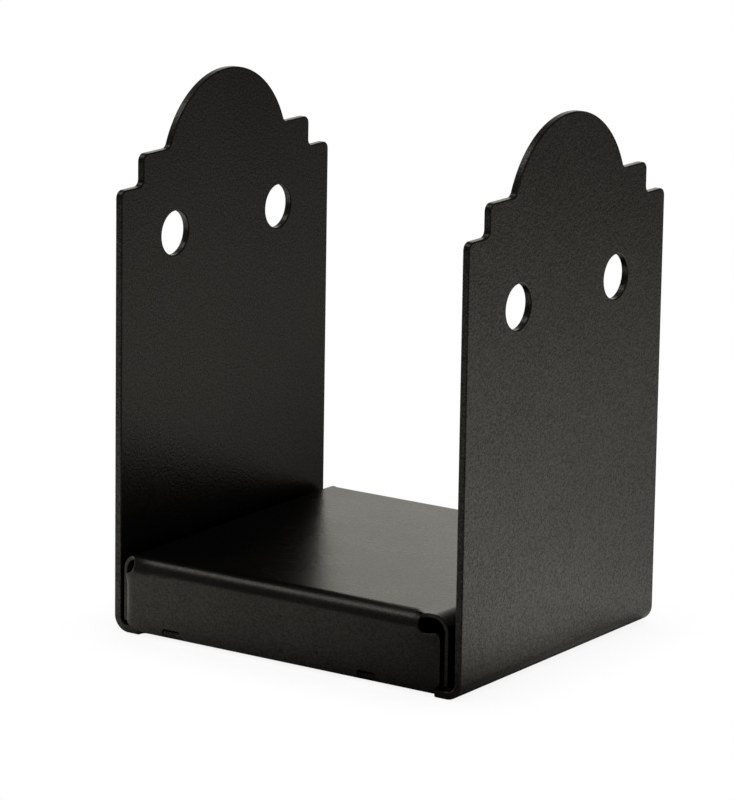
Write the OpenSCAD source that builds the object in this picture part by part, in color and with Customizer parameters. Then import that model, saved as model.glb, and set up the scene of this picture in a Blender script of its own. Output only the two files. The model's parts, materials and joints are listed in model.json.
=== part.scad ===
// Elevated post base: a stepped saddle bracket that holds a square post between two
// bolted side plates, and a loose standoff plate that keeps the post off the ground.
// Millimetres. +X is right, -Y is the front, +Z is up. The origin is on the ground,
// at the middle of the bracket.

/* [Saddle bracket] */
// Width across the outer faces of the side plates
bracket_w = 148; // [147:1:170]
// Depth of the side plates, front to back
bracket_d = 127; // [120:1:150]
// Thickness of the painted bracket sheet
bracket_t = 2.8; // [2:0.1:3.2]
// Outer radius of the bends under the side plates
bracket_bend_r = 6; // [5:0.1:7]

/* [Side plate outline] */
// Height of the lower shoulders
lower_shoulder_z = 160; // [155:0.5:163]
// Height of the upper shoulders
upper_shoulder_z = 171.3; // [168:0.1:176]
// Width of the step from a lower to an upper shoulder
step_w = 12.7; // [8:0.1:16]
// Radius of the round crown
crown_r = 37.4; // [30:0.1:42]
// Height of the crown's centre
crown_z = 158.4; // [152:0.1:162]
// Radius of the outward corners of the steps
step_corner_r = 2.8; // [1:0.1:4]
// Radius of the inward corners of the steps and of the crown
step_fillet_r = 2.4; // [1:0.1:4]

/* [Post bolt holes] */
// Diameter of the bolt holes
bolt_hole_d = 16; // [12:0.1:18]
// Distance between a plate's two bolt holes
bolt_spacing = 63.5; // [50:0.5:80]
// Height of the left plate's holes
left_bolt_z = 140.2; // [120:0.1:145]
// Height of the right plate's holes, staggered so that the bolts pass each other
right_bolt_z = 132.8; // [110:0.1:138]

/* [Web] */
// Width of the corner tabs that reach the web's front and back edges
tab_w = 11.1; // [8:0.1:20]
// Depth that the web is cut back between the tabs
web_recess = 3; // [1:0.1:8]
// Radius in the inner corners of the cut-back
web_recess_r = 1.5; // [0.5:0.1:2]
// Diameter of the anchor bolt hole in the middle of the web
anchor_hole_d = 17.5; // [12:0.1:26]

/* [Standoff plate] */
// Height of the post seat above the ground
seat_z = 29.2; // [27:0.1:50]
// Width across the side flanges
standoff_w = 138.3; // [132:0.1:139]
// Thickness of the painted standoff sheet
standoff_t = 1.6; // [1.2:0.1:2.5]
// Outer radius of the standoff plate's bends
standoff_bend_r = 6; // [4:0.1:7]
// Sideways offset at which the loose plate sits in the bracket
standoff_shift = -1.1; // [-1.1:0.1:1.1]
// Gap between the end flanges and the bracket's front and back edges
end_gap = 0.2; // [0.1:0.1:1]
// Width of the front and back flanges
end_flange_w = 133.6; // [130:0.1:134]
// Height of the front and back flanges' lower edges
end_flange_z = 1.9; // [1:0.1:3]
// Radius of the sweep at the end flanges' lower corners
end_flange_sweep_r = 20; // [15:1:30]
// Length of that sweep along the lower edge
end_flange_sweep = 9.5; // [4:0.1:10]
// Height of the side flanges' lower edges above the web
side_flange_lift = 1.1; // [1:0.1:2]
// Distance from the bracket's ends to the side flanges' ends
side_flange_inset = 0.6; // [0.1:0.1:2]

/* [Corner reliefs and notches] */
// Distance from the standoff plate's middle to the round ends of the left corner reliefs
left_relief_start = 63.4; // [50:0.1:63.5]
// Distance from the standoff plate's middle to the round ends of the right corner reliefs
right_relief_start = 57.8; // [50:0.1:63.5]
// Radius of a corner relief's round end
relief_r = 3; // [2:0.1:3.5]
// Distance from the seat down to the lowest point of a corner relief
relief_drop = 6.6; // [6:0.1:7]
// Angle at which a corner relief rises outwards
relief_rise = 9; // [0:1:12]
// Width of a notch at the end flange's lower edge
notch_w = 10.2; // [6:0.1:14]
// Width of the slanted side of a notch
notch_slant = 3; // [1:0.1:5]
// Height of a notch
notch_h = 2.8; // [1:0.1:5]
// Distance between an end flange's two notches
notch_spacing = 83.8; // [60:0.1:95]
// Sideways offset of the pair of notches
notch_shift = -3.4; // [-6:0.1:6]

/* [Hidden] */
$fn = 96;
// Extra length that carries a cut past a face
over = 1;
powder_black = [0.06, 0.06, 0.06];

half_d = bracket_d / 2;
inner_w = bracket_w - 2 * bracket_t;
plate_top_z = crown_z + crown_r;

// The crown's fillet circles rest on the upper shoulders and touch the crown
crown_fillet_z = upper_shoulder_z + step_fillet_r;
crown_reach = crown_r + step_fillet_r;
crown_fillet_y = sqrt(crown_reach * crown_reach - pow(crown_fillet_z - crown_z, 2));

end_outer = half_d + end_gap + standoff_t;
side_outer = standoff_w / 2;
side_flange_z = bracket_t + side_flange_lift;
side_flange_end = half_d - side_flange_inset;
relief_z = seat_z - relief_drop;

// Square of side r in the first quadrant, less the circle of radius r about its far corner
module concave_corner(r) {
    difference() {
        square(r);
        translate([r, r]) circle(r);
    }
}

// Material outside a rounded corner whose tip is at the origin, body in the third quadrant
module convex_corner_waste(r) {
    translate([-r, -r]) difference() {
        square(r + over);
        circle(r);
    }
}

// One side's steps, added to and cut from the outline: the tip points are outward corners
module step_corners() {
    translate([half_d, lower_shoulder_z]) convex_corner_waste(step_corner_r);
    translate([half_d - step_w, upper_shoulder_z]) convex_corner_waste(step_corner_r);
}

module step_fillets() {
    translate([half_d - step_w, lower_shoulder_z]) concave_corner(step_fillet_r);
    // The fillet where the crown rises from the upper shoulder
    difference() {
        polygon([
            [0, crown_z],
            [crown_fillet_y, upper_shoulder_z - over],
            [crown_fillet_y, upper_shoulder_z],
            [crown_fillet_y, crown_fillet_z]
        ]);
        translate([crown_fillet_y, crown_fillet_z]) circle(step_fillet_r);
    }
}

// Front view of a side plate: straight sides, two steps each side and a round crown
module plate_outline() {
    difference() {
        union() {
            translate([-half_d, 0]) square([bracket_d, lower_shoulder_z]);
            translate([step_w - half_d, 0]) square([bracket_d - 2 * step_w, upper_shoulder_z]);
            translate([0, crown_z]) circle(crown_r);
            step_fillets();
            mirror([1, 0]) step_fillets();
        }
        step_corners();
        mirror([1, 0]) step_corners();
    }
}

// Rectangle w wide from z = low up to z = high, centred on x = 0, its lower corners rounded
module trough(w, low, high, r) {
    translate([-w / 2, low + r]) square([w, high - low - r]);
    translate([r - w / 2, low]) square([w - 2 * r, 2 * r]);
    for (side = [-1, 1]) translate([side * (w / 2 - r), low + r]) circle(r);
}

// The bent strip seen from the front: a web with a side plate at each end
module saddle_section() {
    difference() {
        trough(bracket_w, 0, plate_top_z, bracket_bend_r);
        trough(inner_w, bracket_t, plate_top_z + over, bracket_bend_r - bracket_t);
    }
}

// Plan of the cut-back between the tabs along the web's front edge
module web_cut() {
    cut_w = bracket_w - 2 * tab_w;
    translate([-cut_w / 2, -half_d - over]) square([cut_w, web_recess + over - web_recess_r]);
    translate([web_recess_r - cut_w / 2, -half_d])
        square([cut_w - 2 * web_recess_r, web_recess]);
    for (side = [-1, 1])
        translate([side * (cut_w / 2 - web_recess_r), web_recess - web_recess_r - half_d])
            circle(web_recess_r);
}

// Two bolt holes through the plate on one side
module bolt_holes(side, z) {
    for (y = [-1, 1] * bolt_spacing / 2)
        translate([side * (bracket_w - bracket_t) / 2, y, z])
            rotate([0, 90, 0])
                cylinder(h = bracket_t + 2 * over, d = bolt_hole_d, center = true);
}

module saddle_bracket() {
    color(powder_black)
        difference() {
            intersection() {
                translate([0, half_d, 0])
                    rotate([90, 0, 0])
                        linear_extrude(bracket_d) saddle_section();
                translate([-bracket_w / 2 - over, 0, 0])
                    rotate([90, 0, 90])
                        linear_extrude(bracket_w + 2 * over) plate_outline();
            }
            for (turn = [0, 180])
                rotate([0, 0, turn])
                    translate([0, 0, -over])
                        linear_extrude(bracket_t + 2 * over) web_cut();
            bolt_holes(-1, left_bolt_z);
            bolt_holes(1, right_bolt_z);
            translate([0, 0, -over]) cylinder(h = bracket_t + 2 * over, d = anchor_hole_d);
        }
}

// Rectangle w wide from z = low up to z = high, its upper corners rounded
module arch(w, low, high, r) {
    translate([0, low + high]) mirror([0, 1]) trough(w, low, high, r);
}

// Block rounded over all four upper edges, as far in from the outer faces as inset
module tray_block(inset, low) {
    w = 2 * (side_outer - inset);
    d = 2 * (end_outer - inset);
    top = seat_z - inset;
    r = standoff_bend_r - inset;
    intersection() {
        translate([0, d / 2, 0])
            rotate([90, 0, 0])
                linear_extrude(d) arch(w, low, top, r);
        translate([-w / 2, 0, 0])
            rotate([90, 0, 90])
                linear_extrude(w) arch(d, low, top, r);
    }
}

// Outline of the waste at one side of an end flange: lower corner sweep, side slot and a
// corner relief whose round end starts at x = start
module end_flange_waste(start) {
    half_w = end_flange_w / 2;
    sweep_x = half_w - end_flange_sweep;
    translate([half_w, -over]) square([standoff_w, relief_z + relief_r + over]);
    difference() {
        translate([sweep_x, end_flange_z - over])
            square([end_flange_sweep + over, end_flange_sweep_r / 2]);
        translate([sweep_x, end_flange_z + end_flange_sweep_r]) circle(end_flange_sweep_r);
        translate([sweep_x - over, end_flange_z + end_flange_sweep])
            square(end_flange_sweep_r);
    }
    translate([start + relief_r, relief_z + relief_r]) {
        circle(relief_r);
        rotate(relief_rise) translate([0, -relief_r]) square([standoff_w, seat_z]);
    }
}

// Notch in an end flange's lower edge, with one upright and one slanted side
module notch() {
    top_z = end_flange_z + notch_h;
    top_w = notch_w - notch_slant;
    round_r = notch_h / 3;
    difference() {
        polygon([
            [-notch_w / 2, end_flange_z - over],
            [-notch_w / 2, top_z],
            [top_w - notch_w / 2, top_z],
            [notch_w / 2, end_flange_z],
            [notch_w / 2, end_flange_z - over]
        ]);
        translate([-notch_w / 2, top_z]) mirror([1, 0]) convex_corner_waste(round_r);
    }
}

// Everything cut from the tray in front of the side flanges' ends
module end_cuts() {
    translate([0, -side_flange_end, 0])
        rotate([90, 0, 0])
            linear_extrude(standoff_t + 2 * end_gap + side_flange_inset + over) {
                end_flange_waste(right_relief_start);
                mirror([1, 0]) end_flange_waste(left_relief_start);
                for (side = [-1, 1])
                    translate([notch_shift + side * notch_spacing / 2, 0]) notch();
            }
}

module standoff_plate() {
    color(powder_black)
        translate([standoff_shift, 0, 0])
            difference() {
                tray_block(0, end_flange_z);
                tray_block(standoff_t, end_flange_z - over);
                translate([-standoff_w, -side_flange_end, end_flange_z - over])
                    cube([2 * standoff_w, 2 * side_flange_end, side_flange_z - end_flange_z + over]);
                end_cuts();
                mirror([0, 1, 0]) end_cuts();
            }
}

saddle_bracket();
standoff_plate();
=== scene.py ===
"""Elevated post base: a saddle bracket and a loose standoff plate in textured black powder coat.

Both pieces are folded from sheet. Each is drawn here as a flat pattern (u across, v front to
back, h into the thickness), given rounded rims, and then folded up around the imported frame.
Lengths are millimetres until a mesh is made.
"""

import json
import math

import bmesh
import bpy
import numpy as np
from mathutils import Matrix, Vector
from mathutils.geometry import delaunay_2d_cdt


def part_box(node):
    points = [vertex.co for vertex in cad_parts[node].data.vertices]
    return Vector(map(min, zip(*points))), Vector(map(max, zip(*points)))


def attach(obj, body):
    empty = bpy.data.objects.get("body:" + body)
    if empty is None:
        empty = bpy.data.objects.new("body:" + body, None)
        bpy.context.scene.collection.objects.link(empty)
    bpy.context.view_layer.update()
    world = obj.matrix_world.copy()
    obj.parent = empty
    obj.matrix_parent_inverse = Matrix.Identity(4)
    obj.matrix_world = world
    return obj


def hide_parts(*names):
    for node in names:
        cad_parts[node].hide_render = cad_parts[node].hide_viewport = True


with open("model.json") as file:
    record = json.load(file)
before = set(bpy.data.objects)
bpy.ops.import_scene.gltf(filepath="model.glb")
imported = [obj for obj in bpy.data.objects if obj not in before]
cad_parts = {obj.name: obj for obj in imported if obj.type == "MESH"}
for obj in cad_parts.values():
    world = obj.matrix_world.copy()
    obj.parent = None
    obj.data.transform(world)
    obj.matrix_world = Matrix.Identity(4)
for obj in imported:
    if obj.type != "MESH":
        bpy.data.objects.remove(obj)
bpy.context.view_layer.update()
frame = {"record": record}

MM = 0.001
QUARTER = math.pi / 2

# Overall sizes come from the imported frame
bracket_low, bracket_high = (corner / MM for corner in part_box("saddle_bracket"))
tray_low, tray_high = (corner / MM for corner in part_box("standoff_plate"))
mounts = {mount["name"]: mount for mount in frame["record"]["mounts"]}

# Both sheets: bend radius, thicknesses, the rounding of their rims and of small flat corners
FOLD_R = 6.0
FOLD_LENGTH = FOLD_R * QUARTER
BRACKET_T = 2.8
TRAY_T = 1.6
BRACKET_RIM = 0.5
TRAY_RIM = 0.45
CORNER_R = 0.8

# How finely the meshes are divided: counts for a bend, a quarter of a rim, an eased corner and a
# hole, then lengths along outlines and across flats, then angles between the points of arcs
FOLD_STEPS = 14
RIM_STEPS = 4
EASE_STEPS = 8
CIRCLE_POINTS = 72
OUTLINE_STEP = 2.5
GRID_STEP = 9.0
SMALL_ARC_STEP = 0.13
ROUNDING_STEP = 0.2
SWEEP_STEP = 0.05
CROWN_STEP = 0.04

# The least edge on an outline, the least distance from the outline to a point of the grid,
# the distance under which two points are one, and one that counts as nothing
SHORT_EDGE = 0.05
GRID_GAP = 0.35
SAME_POINT = 1e-4
TINY = 1e-6

# Powder coat: colours, roughness and sheen. The scales say how many features fit in a metre.
COAT_DARK = (0.0016, 0.0015, 0.0013)
COAT_PALE = (0.0042, 0.0040, 0.0036)
# The paler colour of the rims, partly wear and partly a painted highlight where they catch light,
# and of the pale specks
COAT_WORN_HIGHLIGHT_AND_SPECKS = (0.020, 0.019, 0.017)
COAT_TINT = (1.0, 0.99, 0.96)
COAT_ROUGHNESS = 0.27
COAT_SPECULAR = 0.25
GRAIN_SHEEN = 0.13
CLOUD_SCALE = 28
PEEL_SCALE = 800
GRAIN_SCALE = 1600
SCUFF_SCALE = 90
DARK_SPECK_SCALE = 260
DARK_SPECK_SIZE = 0.22
PALE_SPECK_SCALE = 442
PALE_SPECK_SIZE = 0.16
SPECK_RARITY = 0.97
SPECK_DULLNESS = 0.7
BUMP_STRENGTH = 0.5
BUMP_HEIGHT = 0.00022
PEEL_SHARE = 0.7
CLOUD_SHEEN = 0.06
CLOUD_ROUGHNESS = 0.02

# A noise runs from 0 to 1 and is mostly between these. Rims are painted paler, partly as wear and
# partly as a painted highlight, where the scuff noise is high, and a little everywhere.
NOISE_LOW, NOISE_HIGH = 0.3, 0.7
SCUFF_LOW, SCUFF_HIGH = 0.42, 0.68
LEAST_WEAR_AND_HIGHLIGHT = 0.15
RIM_HIGHLIGHT_PALENESS = 0.5
WEAR_SMOOTHING = 0.06

# Studio lights as (azimuth, elevation, focus, strength), in degrees. A higher focus is narrower.
BACKDROP = (120, 10, 9, 1.15)
LEFT_SCREEN = (185, 5, 8, 2.4)
HIGH_KEY = (205, 54, 60, 4.2)
RIGHT_FILL = (340, 20, 6, 0.5)
OVERHEAD = (0, 90, 4, 0.3)
EVEN_FILL = 0.06
WHITE = (1.0, 1.0, 1.0)
WARM_WHITE = (1.0, 0.967, 0.87)

# Floor: painted pools of light at its sides as (azimuth, focus, strength), how far they reach, an
# even part, and the painted contact shadow under the steel. It lies just under the bracket. Lengths
# in metres.
FLOOR_RIGHT = (20, 3, 1.35)
FLOOR_FRONT = (230, 2, 0.7)
FLOOR_LEFT = (200, 6, 0.8)
FLOOR_REACH = 0.85
FLOOR_FILL = 0.2
FLOOR_SIZE = 12
FLOOR_Z = -0.0003
CONTACT_SHADE = 0.12
CONTACT_REACH = 0.03
CONTACT_DEPTH = 3.0

# Camera: degrees round from the open front, degrees up and degrees of roll, then the point it
# looks at in millimetres, its distance in metres and its lens
CAMERA_AZIMUTH = 34.023
CAMERA_ELEVATION = 13.410
CAMERA_ROLL = 0.888
CAMERA_AIM = (-9.251, 0, 82.110)
CAMERA_DISTANCE = 1.72744
CAMERA_LENS = 217.539


# ---------------------------------------------------------------- flat outlines

def arc(centre, radius, start, end, step=SMALL_ARC_STEP):
    """Points on an arc, ends included, angles in radians."""
    count = max(3, math.ceil(abs(end - start) / step))
    angles = [start + (end - start) * i / count for i in range(count + 1)]
    return [(centre[0] + radius * math.cos(a), centre[1] + radius * math.sin(a)) for a in angles]


def rounded(corners):
    """An open path through (u, v, radius) corners, each rounded with its own radius."""
    path = []
    for i, (u, v, radius) in enumerate(corners):
        if radius == 0 or i in (0, len(corners) - 1):
            path.append((u, v))
            continue
        tip = Vector((u, v))
        back = (Vector(corners[i - 1][:2]) - tip).normalized()
        ahead = (Vector(corners[i + 1][:2]) - tip).normalized()
        half = math.acos(max(-1, min(1, back.dot(ahead)))) / 2
        centre = tip + (back + ahead).normalized() * radius / math.sin(half)
        first = tip + back * radius / math.tan(half) - centre
        last = tip + ahead * radius / math.tan(half) - centre
        start = math.atan2(first.y, first.x)
        turn = math.atan2(last.y, last.x) - start
        turn = (turn + math.pi) % (2 * math.pi) - math.pi
        path += arc(centre, radius, start, start + turn, ROUNDING_STEP)
    return path


def softened(path, corner, length):
    """The path with one corner, given by its index, eased over a length on both sides of it."""
    def walk(step):
        left, i = length, corner
        while 0 <= i + step < len(path) and math.dist(path[i], path[i + step]) < left:
            left -= math.dist(path[i], path[i + step])
            i += step
        share = left / math.dist(path[i], path[i + step])
        return Vector(path[i]).lerp(Vector(path[i + step]), share), i + step

    (before, first), (after, last) = walk(-1), walk(1)
    tip = Vector(path[corner])
    shares = [i / EASE_STEPS for i in range(EASE_STEPS + 1)]
    curve = [before.lerp(tip, share).lerp(tip.lerp(after, share), share) for share in shares]
    return path[:first + 1] + [tuple(point) for point in curve] + path[last:]


def mirrored(path, across_u, across_v):
    """The path with the sign of u, of v or of both turned."""
    return [(-u if across_u else u, -v if across_v else v) for u, v in path]


def closed(path):
    """The path without points that repeat the one before."""
    kept = []
    for point in path:
        if not kept or math.dist(point, kept[-1]) > SAME_POINT:
            kept.append(point)
    if math.dist(kept[0], kept[-1]) < SAME_POINT:
        kept.pop()
    return kept


def refined(loop, u_rows, v_rows):
    """The loop with extra points along straight stretches and where it crosses a fold's rows."""
    points = []
    for a, b in zip(loop, loop[1:] + loop[:1]):
        length = math.dist(a, b)
        cuts = {0.0}
        count = math.ceil(length / OUTLINE_STEP)
        cuts.update(i / count for i in range(1, count))
        for axis, rows in ((0, u_rows), (1, v_rows)):
            span = b[axis] - a[axis]
            if abs(span) > TINY:
                cuts.update(t for t in ((row - a[axis]) / span for row in rows) if 0 < t < 1)
        last = -1.0
        for t in sorted(cuts):
            if (t - last) * length > SHORT_EDGE and (1 - t) * length > SHORT_EDGE:
                points.append((a[0] + (b[0] - a[0]) * t, a[1] + (b[1] - a[1]) * t))
                last = t
    return points


def circle_loop(u, v, radius):
    angles = [2 * math.pi * i / CIRCLE_POINTS for i in range(CIRCLE_POINTS)]
    return [(u + radius * math.cos(a), v + radius * math.sin(a)) for a in angles]


# ---------------------------------------------------------------- sheets with rounded rims

def signed_area(loop):
    """Positive for a loop that runs anticlockwise."""
    pairs = zip(loop, loop[1:] + loop[:1])
    return sum(a[0] * b[1] - b[0] * a[1] for a, b in pairs) / 2


def outward_normals(points):
    """Unit normals pointing to the right of a closed loop's direction of travel."""
    before, after = np.roll(points, 1, 0), np.roll(points, -1, 0)
    back, ahead = points - before, after - points
    back /= np.linalg.norm(back, axis=1)[:, None]
    ahead /= np.linalg.norm(ahead, axis=1)[:, None]
    along = back + ahead
    along /= np.linalg.norm(along, axis=1)[:, None]
    return np.stack((along[:, 1], -along[:, 0]), 1)


def inside(points, loop):
    """Which points lie inside a closed loop, by counting edges crossed to the right."""
    hit = np.zeros(len(points), bool)
    a, b = np.array(loop), np.roll(np.array(loop), -1, 0)
    for (au, av), (bu, bv) in zip(a, b):
        if av == bv:
            continue
        crosses = (points[:, 1] < av) != (points[:, 1] < bv)
        hit ^= crosses & (points[:, 0] < au + (points[:, 1] - av) * (bu - au) / (bv - av))
    return hit


def clear_of(points, loop, gap):
    """Which points lie farther than the gap from a closed loop."""
    a, b = np.array(loop), np.roll(np.array(loop), -1, 0)
    span = b - a
    share = ((points[:, None] - a) * span).sum(2) / (span * span).sum(1)
    nearest = a + np.clip(share, 0, 1)[:, :, None] * span
    return np.linalg.norm(points[:, None] - nearest, axis=2).min(1) > gap


def fill(loops, grid):
    """Triangles between the first loop and the others, through the grid's points.
    Returns the points, the triangles and the index of each loop point."""
    spots = np.array(grid)
    keep = inside(spots, loops[0]) & clear_of(spots, loops[0], GRID_GAP)
    for hole in loops[1:]:
        keep &= ~inside(spots, hole) & clear_of(spots, hole, GRID_GAP)
    points = [tuple(p) for loop in loops for p in loop] + [tuple(p) for p in spots[keep]]
    edges, start = [], 0
    for loop in loops:
        edges += [(start + i, start + (i + 1) % len(loop)) for i in range(len(loop))]
        start += len(loop)
    points = [Vector(p) for p in points]
    found, _, faces, origins, _, _ = delaunay_2d_cdt(points, edges, [], 1, TINY)
    index = {old: new for new, olds in enumerate(origins) for old in olds}
    found = np.array([tuple(p) for p in found])
    centres = np.array([found[list(face)].mean(0) for face in faces])
    solid = inside(centres, loops[0])
    for hole in loops[1:]:
        solid &= ~inside(centres, hole)
    triangles = [face for face, kept in zip(faces, solid) if kept]
    return found, triangles, [index[i] for i in range(start)]


def sheet_mesh(name, loops, grid, thickness, rim, fold, rim_width=None):
    """A closed sheet with rounded rims, folded by fold(points) from (u, v, h) to (x, y, z).
    The first loop is the outline and the others are holes. The rim is as high as rim, and as
    wide too unless rim_width(u, v) gives its width. Shading normals come from the fold itself,
    and the point attribute "edge" is 0 on the flats and 1 halfway round the rim's curve."""
    loops = [
        loop if (signed_area(loop) > 0) == (i == 0) else loop[::-1]
        for i, loop in enumerate(loops)
    ]
    flat = [np.array(loop) for loop in loops]
    normals = [outward_normals(loop) for loop in flat]
    if rim_width is None:
        widths = [np.full(len(loop), rim) for loop in flat]
    else:
        widths = [np.array([rim_width(u, v) for u, v in loop]) for loop in flat]
    inset = [loop - n * w[:, None] for loop, n, w in zip(flat, normals, widths)]
    cap, triangles, loop_index = fill([[tuple(p) for p in loop] for loop in inset], grid)
    rows = len(cap)
    outline = np.concatenate(flat)
    facing = np.concatenate(normals)
    width = np.concatenate(widths)
    points, directions, edge, faces = [], [], [], []
    rings = []
    for side, depth in ((-1, 0.0), (1, thickness)):
        base = len(points)
        points += [(u, v, depth) for u, v in cap]
        directions += [(0, 0, side)] * rows
        edge += [0.0] * rows
        faces += [tuple(base + i for i in face) for face in triangles]
        sheet_rings = [[base + i for i in loop_index]]
        for step in range(1, RIM_STEPS + 1):
            angle = QUARTER * step / RIM_STEPS
            ring = []
            for (u, v), (nu, nv), w in zip(outline, facing, width):
                pull = w * (1 - math.sin(angle))
                ring.append(len(points))
                height = depth - side * rim * (1 - math.cos(angle))
                points.append((u - nu * pull, v - nv * pull, height))
                tilt, rise = math.sin(angle) / w, math.cos(angle) / rim
                directions.append((nu * tilt, nv * tilt, side * rise))
                edge.append(math.sin(2 * angle))
            sheet_rings.append(ring)
        rings.append(sheet_rings)
    ladder = rings[0] + rings[1][::-1]
    for upper, lower in zip(ladder, ladder[1:]):
        start = 0
        for loop in flat:
            count = len(loop)
            for i in range(count):
                j = (i + 1) % count
                faces.append(tuple(
                    row[start + k] for row, k in ((upper, i), (upper, j), (lower, j), (lower, i))
                ))
            start += count
    points, directions = np.array(points), np.array(directions, float)
    folded = fold(points)
    step = 1e-3
    jacobian = np.stack([
        (fold(points + step * axis) - fold(points - step * axis)) / (2 * step) for axis in np.eye(3)
    ], 2)
    world = np.linalg.solve(np.transpose(jacobian, (0, 2, 1)), directions[:, :, None])[:, :, 0]
    world /= np.linalg.norm(world, axis=1)[:, None]
    mesh = bpy.data.meshes.new(name)
    mesh.from_pydata([tuple(p) for p in folded * MM], [], faces)
    attribute = mesh.attributes.new("edge", "FLOAT", "POINT")
    attribute.data.foreach_set("value", edge)
    work = bmesh.new()
    work.from_mesh(mesh)
    bmesh.ops.recalc_face_normals(work, faces=work.faces)
    work.to_mesh(mesh)
    work.free()
    mesh.shade_smooth()
    mesh.normals_split_custom_set_from_vertices([tuple(n) for n in world])
    piece = bpy.data.objects.new(name, mesh)
    bpy.context.scene.collection.objects.link(piece)
    return piece


def fold_rows(start):
    """Positions along the pattern of a fold's rows, for a fold that begins at start."""
    return [start + FOLD_LENGTH * i / FOLD_STEPS for i in range(FOLD_STEPS + 1)]


def spread(low, high, step):
    """Even positions from low to high, no farther apart than the step."""
    count = max(1, math.ceil((high - low) / step))
    return [low + (high - low) * i / count for i in range(count + 1)]


# ---------------------------------------------------------------- saddle bracket

HALF_D = bracket_high.y
WEB_FLAT = bracket_high.x - FOLD_R
PLATE_SHIFT = WEB_FLAT + FOLD_LENGTH - FOLD_R
LOWER_SHOULDER_Z = 160.0
UPPER_SHOULDER_Z = 171.3
STEP_W = 12.7
CROWN_R = 37.4
CROWN_Z = bracket_high.z - CROWN_R
STEP_CORNER_R = 2.8
STEP_FILLET_R = 2.4
TAB_W = 11.1
WEB_RECESS = 3.0
WEB_RECESS_R = 1.5


def fold_bracket(p):
    """Web flat on the ground, both side plates folded up."""
    run = np.abs(p[:, 0]) - WEB_FLAT
    turn = np.clip(run / FOLD_R, 0, QUARTER)
    reach = FOLD_R - p[:, 2]
    x = np.minimum(np.abs(p[:, 0]), WEB_FLAT) + reach * np.sin(turn)
    z = FOLD_R - reach * np.cos(turn) + np.maximum(run - FOLD_LENGTH, 0)
    return np.stack((np.sign(p[:, 0]) * x, p[:, 1], z), 1)


def bracket_quarter():
    """The pattern's edge from the middle of the back web edge to the middle of the crown."""
    lower, upper = PLATE_SHIFT + LOWER_SHOULDER_Z, PLATE_SHIFT + UPPER_SHOULDER_Z
    tab = bracket_high.x - TAB_W
    crown = (PLATE_SHIFT + CROWN_Z, 0)
    fillet_u = upper + STEP_FILLET_R
    fillet_v = math.sqrt((CROWN_R + STEP_FILLET_R) ** 2 - (fillet_u - crown[0]) ** 2)
    lean = math.atan2(fillet_v, fillet_u - crown[0])
    path = rounded([
        (0, HALF_D - WEB_RECESS, 0),
        (tab, HALF_D - WEB_RECESS, WEB_RECESS_R),
        (tab, HALF_D, CORNER_R),
        (lower, HALF_D, STEP_CORNER_R),
        (lower, HALF_D - STEP_W, STEP_FILLET_R),
        (upper, HALF_D - STEP_W, STEP_CORNER_R),
        (upper, fillet_v, 0),
    ])
    path += arc((fillet_u, fillet_v), STEP_FILLET_R, math.pi, lean + math.pi)
    path += arc(crown, CROWN_R, lean, 0, CROWN_STEP)
    return path


def saddle_bracket():
    quarter = bracket_quarter()
    half = quarter + mirrored(quarter, False, True)[::-1]
    outline = closed(half + mirrored(half, True, False)[::-1])
    rows = [side * row for side in (-1, 1) for row in fold_rows(WEB_FLAT)]
    loops = [refined(outline, rows, [])]
    for name in ("left_plate_bolts", "right_plate_bolts"):
        x, y, z = mounts[name]["pos_m"]
        spacing, radius = (mounts[name]["dims"][key] for key in ("spacing_x_mm", "hole_r_mm"))
        u = math.copysign(PLATE_SHIFT + z / MM, x)
        loops += [circle_loop(u, y / MM + side * spacing / 2, radius) for side in (-1, 1)]
    loops.append(circle_loop(0, 0, mounts["anchor_hole"]["dims"]["r_mm"]))
    top = PLATE_SHIFT + bracket_high.z
    columns = spread(-WEB_FLAT, WEB_FLAT, GRID_STEP) + rows
    plate = spread(WEB_FLAT + FOLD_LENGTH, top, GRID_STEP)[1:]
    columns += [side * u for side in (-1, 1) for u in plate]
    lines = spread(-HALF_D, HALF_D, GRID_STEP / 2)
    grid = [(u, v) for u in sorted(set(columns)) for v in lines]
    return sheet_mesh("saddle_bracket_sheet", loops, grid, BRACKET_T, BRACKET_RIM, fold_bracket)


# ---------------------------------------------------------------- standoff plate

SEAT_Z = tray_high.z
TRAY_X = (tray_low.x + tray_high.x) / 2
TRAY_FLAT_U = (tray_high.x - tray_low.x) / 2 - FOLD_R
TRAY_FLAT_V = tray_high.y - FOLD_R
END_FLANGE_Z = tray_low.z
END_FLANGE_HALF_W = 66.8
END_SWEEP_R = 20.0
END_SWEEP = 9.5
SIDE_FLANGE_Z = 3.9
SIDE_FLANGE_END = HALF_D - 0.6
RELIEF_START = {-1: 63.4, 1: 57.8}
RELIEF_Z = SEAT_Z - 6.6
RELIEF_RISE = math.radians(9)
STRIP_BLEND = 1.5
CORNER_EASE = 1.8
NOTCH_W = 10.2
NOTCH_SLANT = 3.0
NOTCH_H = 2.8
NOTCH_SPACING = 83.8
NOTCH_SHIFT = -3.4

# The end flanges' upright ends curl back a little, quickly at the left and gently at the right.
# The rows are the mesh's extra columns there, as distances from the end.
CURL_RUN = {-1: 3.4, 1: 14.0}
CURL_DEPTH = 0.8
CURL_FADE = 4.0
CURL_ROWS = (2.5, 3.1, 3.9, 5.2, 7.1, 10.3, 12.6)
CURL_LINE_STEP = 2.2

# Their rims are broader than the others, reaching full width over a run from both corners
ROLLED_RIM = 2.0
ROLLED_RUN = 4.0
ROLLED_DELAY = 0.2

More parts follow.
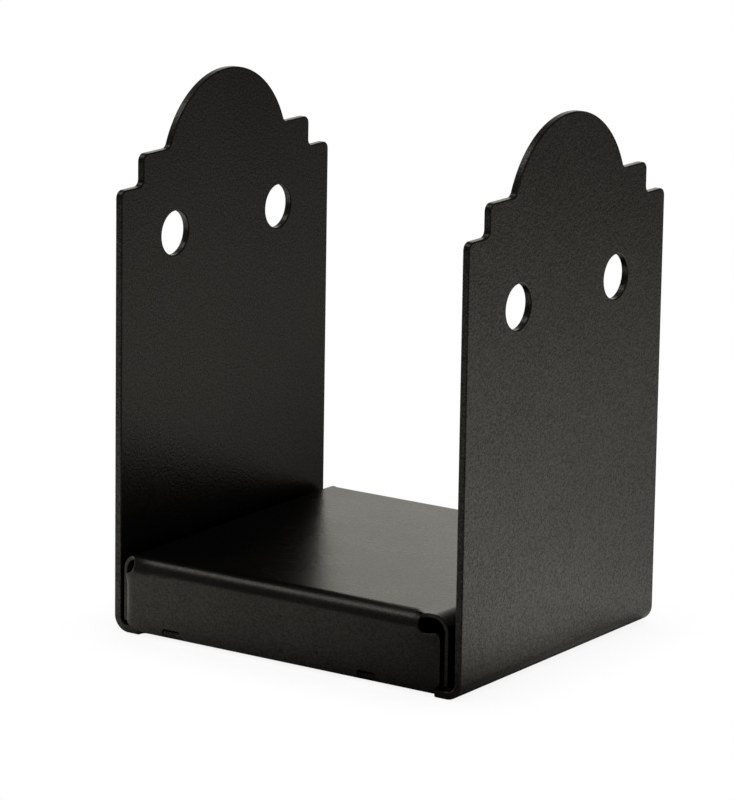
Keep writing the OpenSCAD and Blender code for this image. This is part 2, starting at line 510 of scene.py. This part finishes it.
# The same lengths measured along the flat pattern
FOLD_Z = SEAT_Z - FOLD_R
RELIEF_LOW_V = TRAY_FLAT_V + FOLD_LENGTH + FOLD_Z - RELIEF_Z
RELIEF_R = (RELIEF_LOW_V - SIDE_FLANGE_END) / 2
RELIEF_MID_V = (RELIEF_LOW_V + SIDE_FLANGE_END) / 2
SIDE_TIP_U = TRAY_FLAT_U + FOLD_LENGTH + FOLD_Z - SIDE_FLANGE_Z
END_TIP_V = TRAY_FLAT_V + FOLD_LENGTH + FOLD_Z - END_FLANGE_Z


def smooth(low, high, value):
    """0 below low, 1 above high, and an S curve between."""
    share = np.clip((value - low) / (high - low), 0, 1)
    return share * share * (3 - 2 * share)


def fold_tray(p):
    """Seat on top, side flanges and end flanges folded down. Beyond the reliefs' middles only
    the end folds act, and the strips beside the reliefs stay level. Last, the end flanges'
    upright ends curl back."""
    across, along, depth = np.abs(p[:, 0]), np.abs(p[:, 1]), p[:, 2]
    relief = np.where(p[:, 0] < 0, RELIEF_START[-1], RELIEF_START[1])
    strip = smooth(relief - STRIP_BLEND, relief + RELIEF_R, across)
    strip = strip * (1 - smooth(SIDE_FLANGE_END, RELIEF_MID_V, along))
    side_run = np.where(along < RELIEF_MID_V, across - TRAY_FLAT_U, -1.0)
    end_run = along - TRAY_FLAT_V
    side_turn = np.clip(side_run / FOLD_R, 0, QUARTER)
    end_turn = np.clip(end_run / FOLD_R, 0, QUARTER)
    tilt = (1 - strip) * end_turn
    upright = np.cos(side_turn)
    flat_u = np.where(along < RELIEF_MID_V, np.minimum(across, TRAY_FLAT_U), across)
    curl_run = np.where(p[:, 0] < 0, CURL_RUN[-1], CURL_RUN[1])
    curl = np.maximum(1 - (END_FLANGE_HALF_W - across) / curl_run, 0) ** 2
    curl *= CURL_DEPTH * smooth(FOLD_LENGTH, FOLD_LENGTH + CURL_FADE, end_run)
    x = flat_u + (FOLD_R - depth) * np.sin(side_turn)
    y = np.minimum(along, TRAY_FLAT_V) + (1 - strip) * FOLD_R * np.sin(end_turn)
    y += strip * np.maximum(end_run, 0) - depth * upright * np.sin(tilt) - curl
    drop = (1 - strip) * FOLD_R * (1 - np.cos(end_turn))
    z = FOLD_Z + upright * (FOLD_R - drop - depth * np.cos(tilt))
    z -= np.maximum(side_run - FOLD_LENGTH, 0) + np.maximum(end_run - FOLD_LENGTH, 0)
    return np.stack((TRAY_X + np.sign(p[:, 0]) * x, np.sign(p[:, 1]) * y, z), 1)


def tray_corner(side):
    """The pattern's edge at one back corner, from the side flange's tip edge to the start of
    the end flange's lower edge, as points with u positive."""
    centre = (RELIEF_START[side] + RELIEF_R, RELIEF_MID_V)
    path = rounded([
        (SIDE_TIP_U, 0, 0),
        (SIDE_TIP_U, SIDE_FLANGE_END, CORNER_R),
        (centre[0], SIDE_FLANGE_END, 0),
    ])
    path += arc(centre, RELIEF_R, 3 * QUARTER, QUARTER - RELIEF_RISE)
    last_u, last_v = path[-1]
    rise = (END_FLANGE_HALF_W - last_u) * math.tan(RELIEF_RISE)
    path.append((END_FLANGE_HALF_W, last_v - rise))
    upper = len(path) - 1
    sweep = (END_FLANGE_HALF_W - END_SWEEP, END_TIP_V - END_SWEEP_R)
    sweep_end = math.acos(END_SWEEP / END_SWEEP_R)
    path += arc(sweep, END_SWEEP_R, sweep_end, QUARTER, SWEEP_STEP)
    return softened(softened(path, upper + 1, CORNER_EASE), upper, CORNER_EASE)


def notch_path(centre):
    """A notch in the end flange's lower edge, from its slanted side to its upright side."""
    low, top = END_TIP_V, END_TIP_V - NOTCH_H
    return rounded([
        (centre + NOTCH_W, low, 0),
        (centre + NOTCH_W / 2, low, CORNER_R),
        (centre + NOTCH_W / 2 - NOTCH_SLANT, top, CORNER_R),
        (centre - NOTCH_W / 2, top, CORNER_R),
        (centre - NOTCH_W / 2, low, CORNER_R),
        (centre - NOTCH_W, low, 0),
    ])


def tray_rim(u, v):
    """Rim width at a point of the outline: broad on the end flanges' upright ends."""
    upright_end = math.isclose(abs(u), END_FLANGE_HALF_W, abs_tol=0.01) and abs(v) >= RELIEF_LOW_V
    if not upright_end:
        return TRAY_RIM
    sweep_low = END_TIP_V - END_SWEEP_R * (1 - math.sqrt(1 - (END_SWEEP / END_SWEEP_R) ** 2))
    from_ends = min(abs(v) - RELIEF_LOW_V, sweep_low - abs(v)) / ROLLED_RUN
    share = min(1.0, max(0.0, from_ends - ROLLED_DELAY))
    return TRAY_RIM + (ROLLED_RIM - TRAY_RIM) * share


def standoff_plate():
    right, left = tray_corner(1), mirrored(tray_corner(-1), True, False)
    notches = []
    for side in (1, -1):
        notches += notch_path(NOTCH_SHIFT + side * NOTCH_SPACING / 2)
    back = right + notches + left[::-1]
    outline = closed(back + mirrored(back, False, True)[::-1])
    u_rows = [side * row for side in (-1, 1) for row in fold_rows(TRAY_FLAT_U)]
    v_rows = [side * row for side in (-1, 1) for row in fold_rows(TRAY_FLAT_V)]
    loop = refined(outline, u_rows, v_rows)
    columns = spread(-TRAY_FLAT_U, TRAY_FLAT_U, GRID_STEP) + u_rows
    side_flange = spread(TRAY_FLAT_U + FOLD_LENGTH, SIDE_TIP_U, GRID_STEP)[1:]
    columns += [side * u for side in (-1, 1) for u in side_flange]
    lines = spread(-TRAY_FLAT_V, TRAY_FLAT_V, GRID_STEP / 2) + v_rows
    end_flange = spread(TRAY_FLAT_V + FOLD_LENGTH, END_TIP_V, GRID_STEP)[1:]
    lines += [side * v for side in (-1, 1) for v in end_flange]
    grid = [(u, v) for u in sorted(set(columns)) for v in sorted(set(lines))]
    flange_lines = spread(TRAY_FLAT_V + FOLD_LENGTH + 1, END_TIP_V, CURL_LINE_STEP)
    quarters = [(i, j) for i in (-1, 1) for j in (-1, 1)]
    grid += [
        (i * (END_FLANGE_HALF_W - inset), j * v)
        for i, j in quarters for inset in CURL_ROWS for v in flange_lines
    ]
    return sheet_mesh("standoff_plate_sheet", [loop], grid, TRAY_T, TRAY_RIM, fold_tray, tray_rim)


# ---------------------------------------------------------------- material

def node_helpers(tree):
    """Short makers for a node tree: any node, a link or value into a socket, a maths node, a
    vector maths node, a smooth remapping and a mix of two colours."""
    def add(kind, **settings):
        node = tree.nodes.new(kind)
        for key, value in settings.items():
            setattr(node, key, value)
        return node

    def wire(value, socket):
        if isinstance(value, bpy.types.NodeSocket):
            tree.links.new(value, socket)
        else:
            socket.default_value = value

    def maths(operation, first, second=0.0):
        node = add("ShaderNodeMath", operation=operation)
        wire(first, node.inputs[0])
        wire(second, node.inputs[1])
        return node.outputs[0]

    def vector(operation, first, second=(0, 0, 0)):
        node = add("ShaderNodeVectorMath", operation=operation)
        wire(first, node.inputs[0])
        wire(second, node.inputs[1])
        return node.outputs["Value" if operation in ("DOT_PRODUCT", "LENGTH") else "Vector"]

    def remap(value, low, high, to_low, to_high):
        node = add("ShaderNodeMapRange", interpolation_type="SMOOTHSTEP")
        for number, socket in zip((value, low, high, to_low, to_high), node.inputs):
            wire(number, socket)
        return node.outputs["Result"]

    def blend(share, first, second):
        node = add("ShaderNodeMix", data_type="RGBA")
        wire(share, node.inputs[0])
        for colour, socket in ((first, node.inputs[6]), (second, node.inputs[7])):
            wire((*colour, 1) if isinstance(colour, tuple) else colour, socket)
        return node.outputs[2]

    return add, wire, maths, vector, remap, blend


def powder_coat(name, offset, texture):
    """Black powder coat: almost no colour of its own, a broad sheen and a fine grain. The offset
    gives each piece its own part of the pattern, and texture scales the grain."""
    material = bpy.data.materials.new(name)
    material.use_nodes = True
    tree = material.node_tree
    shader = tree.nodes["Principled BSDF"]
    add, wire, maths, vector, remap, blend = node_helpers(tree)
    coords = add("ShaderNodeTexCoord").outputs["Object"]
    spot = vector("ADD", coords, (offset, offset, offset))

    def noise(scale, detail, roughness=0.5):
        node = add("ShaderNodeTexNoise")
        wire(spot, node.inputs["Vector"])
        wire(scale, node.inputs["Scale"])
        wire(detail, node.inputs["Detail"])
        wire(roughness, node.inputs["Roughness"])
        return node.outputs["Fac"]

    def around_zero(fac, size):
        """A noise as a change of up to the size, down or up."""
        return remap(fac, NOISE_LOW, NOISE_HIGH, -size, size)

    def specks(scale, size):
        """Sparse dots: 1 in the middle of some cells, 0 elsewhere."""
        cells = add("ShaderNodeTexVoronoi")
        wire(spot, cells.inputs["Vector"])
        wire(scale, cells.inputs["Scale"])
        pick = add("ShaderNodeSeparateColor")
        wire(cells.outputs["Color"], pick.inputs[0])
        dot = remap(cells.outputs["Distance"], 0.0, size, 1.0, 0.0)
        return maths("MULTIPLY", dot, maths("GREATER_THAN", pick.outputs[0], SPECK_RARITY))

    cloud = noise(CLOUD_SCALE, 3)
    grain = noise(GRAIN_SCALE, 2, 0.6)
    peel = noise(PEEL_SCALE, 2)
    scuff = noise(SCUFF_SCALE, 4, 0.65)
    dark_specks = specks(DARK_SPECK_SCALE, DARK_SPECK_SIZE)
    pale_specks = specks(PALE_SPECK_SCALE, PALE_SPECK_SIZE)

    # Wear and painted highlight: the rims of the sheet are painted a little paler, partly as wear
    # and partly as a painted highlight, and made smoother, in patches
    rim = add("ShaderNodeAttribute", attribute_name="edge").outputs["Fac"]
    wear_and_highlight = maths("MULTIPLY", rim, remap(scuff, SCUFF_LOW, SCUFF_HIGH, LEAST_WEAR_AND_HIGHLIGHT, 1.0))

    # Colour: cloudy black, paler on the rims (wear and painted highlight) and at the pale specks
    wear_highlight_and_specks = maths("MAXIMUM", maths("MULTIPLY", wear_and_highlight, RIM_HIGHLIGHT_PALENESS), pale_specks)
    wire(blend(wear_highlight_and_specks, blend(cloud, COAT_DARK, COAT_PALE), COAT_WORN_HIGHLIGHT_AND_SPECKS), shader.inputs["Base Color"])

    # Sheen: changes with the grain and a little with the clouds, and is weak at the dark specks
    sheen = maths("ADD", COAT_SPECULAR, around_zero(grain, GRAIN_SHEEN * texture))
    sheen = maths("MULTIPLY", sheen, maths("ADD", 1.0, around_zero(cloud, CLOUD_SHEEN)))
    dulled = maths("MULTIPLY", dark_specks, SPECK_DULLNESS)
    sheen = maths("MULTIPLY", sheen, maths("SUBTRACT", 1.0, dulled))
    wire(sheen, shader.inputs["Specular IOR Level"])
    wire((*COAT_TINT, 1), shader.inputs["Specular Tint"])

    # Roughness: changes a little with the clouds, smoother where the rims are rubbed
    rough = maths("ADD", COAT_ROUGHNESS, around_zero(cloud, CLOUD_ROUGHNESS))
    rough = maths("SUBTRACT", rough, maths("MULTIPLY", wear_and_highlight, WEAR_SMOOTHING))
    wire(rough, shader.inputs["Roughness"])

    # Bump: mostly orange peel, with the grain on it
    peel_height = maths("MULTIPLY", peel, PEEL_SHARE)
    height = maths("ADD", peel_height, maths("MULTIPLY", grain, 1 - PEEL_SHARE))
    bump = add("ShaderNodeBump")
    wire(BUMP_STRENGTH, bump.inputs["Strength"])
    wire(BUMP_HEIGHT * texture, bump.inputs["Distance"])
    wire(height, bump.inputs["Height"])
    wire(bump.outputs["Normal"], shader.inputs["Normal"])
    return material


# ---------------------------------------------------------------- studio

def studio_camera():
    """The camera at the reference view: its back faces away from the aim, and its roll is small."""
    azimuth, elevation = math.radians(CAMERA_AZIMUTH), math.radians(CAMERA_ELEVATION)
    back = Vector((
        math.sin(azimuth) * math.cos(elevation),
        -math.cos(azimuth) * math.cos(elevation),
        math.sin(elevation),
    ))
    right = Vector((math.cos(azimuth), math.sin(azimuth), 0))
    turn = Matrix((right, back.cross(right), back)).transposed().to_4x4()
    turn @= Matrix.Rotation(math.radians(CAMERA_ROLL), 4, "Z")
    data = bpy.data.cameras.new("camera")
    data.sensor_width = 36
    data.lens = CAMERA_LENS
    data.clip_start, data.clip_end = 0.05, 50
    camera = bpy.data.objects.new("camera", data)
    eye = Vector(CAMERA_AIM) * MM + back * CAMERA_DISTANCE
    camera.matrix_world = Matrix.Translation(eye) @ turn
    bpy.context.scene.collection.objects.link(camera)
    bpy.context.scene.camera = camera


def soft_light(tools, way, azimuth, elevation, focus, strength):
    """A round glow about one direction, fading by the focus power of the cosine. The azimuth is
    0 along +X and 90 along +Y, and the elevation is measured up from the floor, in degrees."""
    maths, vector = tools[2], tools[3]
    turn, rise = math.radians(azimuth), math.radians(elevation)
    flat = math.cos(rise)
    centre = (flat * math.cos(turn), flat * math.sin(turn), math.sin(rise))
    facing = maths("MAXIMUM", vector("DOT_PRODUCT", vector("NORMALIZE", way), centre), 0.0)
    return maths("MULTIPLY", maths("POWER", facing, focus), strength)


def studio_world():
    """White to the camera. The steel sees soft light, most of it from the left and from behind."""
    world = bpy.data.worlds.new("studio")
    bpy.context.scene.world = world
    world.use_nodes = True
    background = world.node_tree.nodes["Background"]
    tools = node_helpers(world.node_tree)
    add, wire, maths, _, _, blend = tools
    way = add("ShaderNodeTexCoord").outputs["Generated"]
    glow = EVEN_FILL
    for light in (BACKDROP, LEFT_SCREEN, HIGH_KEY, RIGHT_FILL, OVERHEAD):
        glow = maths("ADD", glow, soft_light(tools, way, *light))
    seen = add("ShaderNodeLightPath").outputs["Is Camera Ray"]
    wire(blend(seen, WARM_WHITE, WHITE), background.inputs["Color"])
    wire(maths("MAXIMUM", seen, glow), background.inputs["Strength"])


def studio_floor():
    """White to the camera, with a faint painted contact shadow. The floor glows instead of being
    lit: the steel sees painted pools of light at three sides that fade far out, and painted shade
    under the part. From below the floor is clear."""
    bpy.ops.mesh.primitive_plane_add(size=FLOOR_SIZE, location=(0, 0, FLOOR_Z))
    floor = bpy.context.object
    floor.name = "floor"
    paper = bpy.data.materials.new("paper")
    paper.use_nodes = True
    paper.node_tree.nodes.clear()
    tools = node_helpers(paper.node_tree)
    add, wire, maths, vector, _, blend = tools
    geometry = add("ShaderNodeNewGeometry")
    spot = vector("MULTIPLY", geometry.outputs["Position"], (1, 1, 0))
    glow = 0.0
    for azimuth, focus, strength in (FLOOR_RIGHT, FLOOR_FRONT, FLOOR_LEFT):
        glow = maths("ADD", glow, soft_light(tools, spot, azimuth, 0, focus, strength))
    reach = maths("POWER", maths("DIVIDE", vector("LENGTH", spot), FLOOR_REACH), 4.0)
    glow = maths("MULTIPLY", glow, maths("EXPONENT", maths("MULTIPLY", reach, -1.0)))
    glow = maths("ADD", glow, FLOOR_FILL)
    # Painted contact shadow: darker where the steel is near, faint to the camera and deep in
    # reflections
    contact = add("ShaderNodeAmbientOcclusion", samples=4)
    wire(CONTACT_REACH, contact.inputs["Distance"])
    open_share = contact.outputs["AO"]
    shade = maths("ADD", 1 - CONTACT_SHADE, maths("MULTIPLY", open_share, CONTACT_SHADE))
    glow = maths("MULTIPLY", glow, maths("POWER", open_share, CONTACT_DEPTH))
    seen = add("ShaderNodeLightPath").outputs["Is Camera Ray"]
    strength = add("ShaderNodeMix", data_type="FLOAT")
    for value, socket in ((seen, 0), (glow, 2), (shade, 3)):
        wire(value, strength.inputs[socket])
    emission = add("ShaderNodeEmission")
    wire(blend(seen, WARM_WHITE, WHITE), emission.inputs["Color"])
    wire(strength.outputs[0], emission.inputs["Strength"])
    from_below = add("ShaderNodeMixShader")
    wire(geometry.outputs["Backfacing"], from_below.inputs[0])
    wire(emission.outputs[0], from_below.inputs[1])
    wire(add("ShaderNodeBsdfTransparent").outputs[0], from_below.inputs[2])
    wire(from_below.outputs[0], add("ShaderNodeOutputMaterial").inputs[0])
    floor.data.materials.append(paper)


# ---------------------------------------------------------------- the scene

def place(piece, body, node, material):
    """Gives a piece its material and its body, and hides the CAD node it stands for."""
    piece.data.materials.append(material)
    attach(piece, body)
    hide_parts(node)


bracket_coat = powder_coat("bracket_powder_coat", 0.0, 1.0)
standoff_coat = powder_coat("standoff_powder_coat", 3.7, 0.6)
place(saddle_bracket(), "bracket", "saddle_bracket", bracket_coat)
place(standoff_plate(), "standoff", "standoff_plate", standoff_coat)
studio_camera()
studio_world()
studio_floor()
bpy.context.scene.view_settings.view_transform = "Standard"
